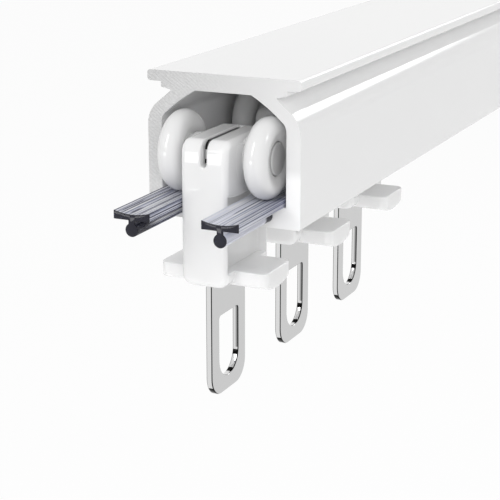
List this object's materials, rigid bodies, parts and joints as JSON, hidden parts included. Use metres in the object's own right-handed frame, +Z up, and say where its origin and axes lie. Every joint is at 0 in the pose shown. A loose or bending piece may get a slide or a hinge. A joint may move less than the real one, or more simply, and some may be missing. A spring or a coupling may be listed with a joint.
{
  "type": "curtain track",
  "caption": "Cut length of ceiling curtain track: a slotted channel with clear running strips in its lips and wheeled carriers, each with a hanging hook plate.",
  "frame": {"origin": "middle of the flat top face that lies against the ceiling", "axes": "+X across the track, +Y along it away from the end where the strips stand out, +Z up"},
  "size_m": [0.022, 0.1338, 0.0431],
  "materials": {
    "coated_aluminium": "white satin coat, bare saw cut at the ends",
    "clear_plastic": "clear, drawn lines along its length",
    "white_nylon": "polished moulding",
    "bright_steel": "bright stamped sheet",
    "grey_steel": "dull grey"
  },
  "bodies": {
    "track": {"track_profile": "coated_aluminium", "running_strip_left": "clear_plastic", "running_strip_right": "clear_plastic"},
    "carrier_1": {"carrier_body_1": "white_nylon", "eye_plate_1": "bright_steel", "axle_1": "grey_steel", "axle_cap_1": "grey_steel"},
    "wheel_left_1": {"wheel_left_1": "white_nylon"},
    "wheel_right_1": {"wheel_right_1": "white_nylon"},
    "carrier_2": {"carrier_body_2": "white_nylon", "eye_plate_2": "bright_steel", "axle_2": "grey_steel", "axle_cap_2": "grey_steel"},
    "wheel_left_2": {"wheel_left_2": "white_nylon"},
    "wheel_right_2": {"wheel_right_2": "white_nylon"},
    "carrier_3": {"carrier_body_3": "white_nylon", "eye_plate_3": "bright_steel", "axle_3": "grey_steel", "axle_cap_3": "grey_steel"},
    "wheel_left_3": {"wheel_left_3": "white_nylon"},
    "wheel_right_3": {"wheel_right_3": "white_nylon"}
  },
  "joints": [
    {"name": "carrier_1_slide", "type": "slide", "parent": "track", "child": "carrier_1", "axis": [0, 1, 0], "range_m": [-0.01, 0.0045]},
    {"name": "wheel_left_1_spin", "type": "hinge", "parent": "carrier_1", "child": "wheel_left_1", "pos_m": [-0.00615, -0.0593, -0.0105], "axis": [1, 0, 0], "continuous": true},
    {"name": "wheel_right_1_spin", "type": "hinge", "parent": "carrier_1", "child": "wheel_right_1", "pos_m": [0.00615, -0.0593, -0.0105], "axis": [1, 0, 0], "continuous": true},
    {"name": "carrier_2_slide", "type": "slide", "parent": "track", "child": "carrier_2", "axis": [0, 1, 0], "range_m": [-0.0045, 0.0045]},
    {"name": "wheel_left_2_spin", "type": "hinge", "parent": "carrier_2", "child": "wheel_left_2", "pos_m": [-0.00615, -0.0367, -0.0105], "axis": [1, 0, 0], "continuous": true},
    {"name": "wheel_right_2_spin", "type": "hinge", "parent": "carrier_2", "child": "wheel_right_2", "pos_m": [0.00615, -0.0367, -0.0105], "axis": [1, 0, 0], "continuous": true},
    {"name": "carrier_3_slide", "type": "slide", "parent": "track", "child": "carrier_3", "axis": [0, 1, 0], "range_m": [-0.0045, 0.067]},
    {"name": "wheel_left_3_spin", "type": "hinge", "parent": "carrier_3", "child": "wheel_left_3", "pos_m": [-0.00615, -0.0141, -0.0105], "axis": [1, 0, 0], "continuous": true},
    {"name": "wheel_right_3_spin", "type": "hinge", "parent": "carrier_3", "child": "wheel_right_3", "pos_m": [0.00615, -0.0141, -0.0105], "axis": [1, 0, 0], "continuous": true}
  ],
  "couplings": [
    {"joint": "wheel_left_1_spin", "follows": "carrier_1_slide", "rad_per_m": -183.49},
    {"joint": "wheel_right_1_spin", "follows": "carrier_1_slide", "rad_per_m": -183.49},
    {"joint": "wheel_left_2_spin", "follows": "carrier_2_slide", "rad_per_m": -183.49},
    {"joint": "wheel_right_2_spin", "follows": "carrier_2_slide", "rad_per_m": -183.49},
    {"joint": "wheel_left_3_spin", "follows": "carrier_3_slide", "rad_per_m": -183.49},
    {"joint": "wheel_right_3_spin", "follows": "carrier_3_slide", "rad_per_m": -183.49}
  ]
}
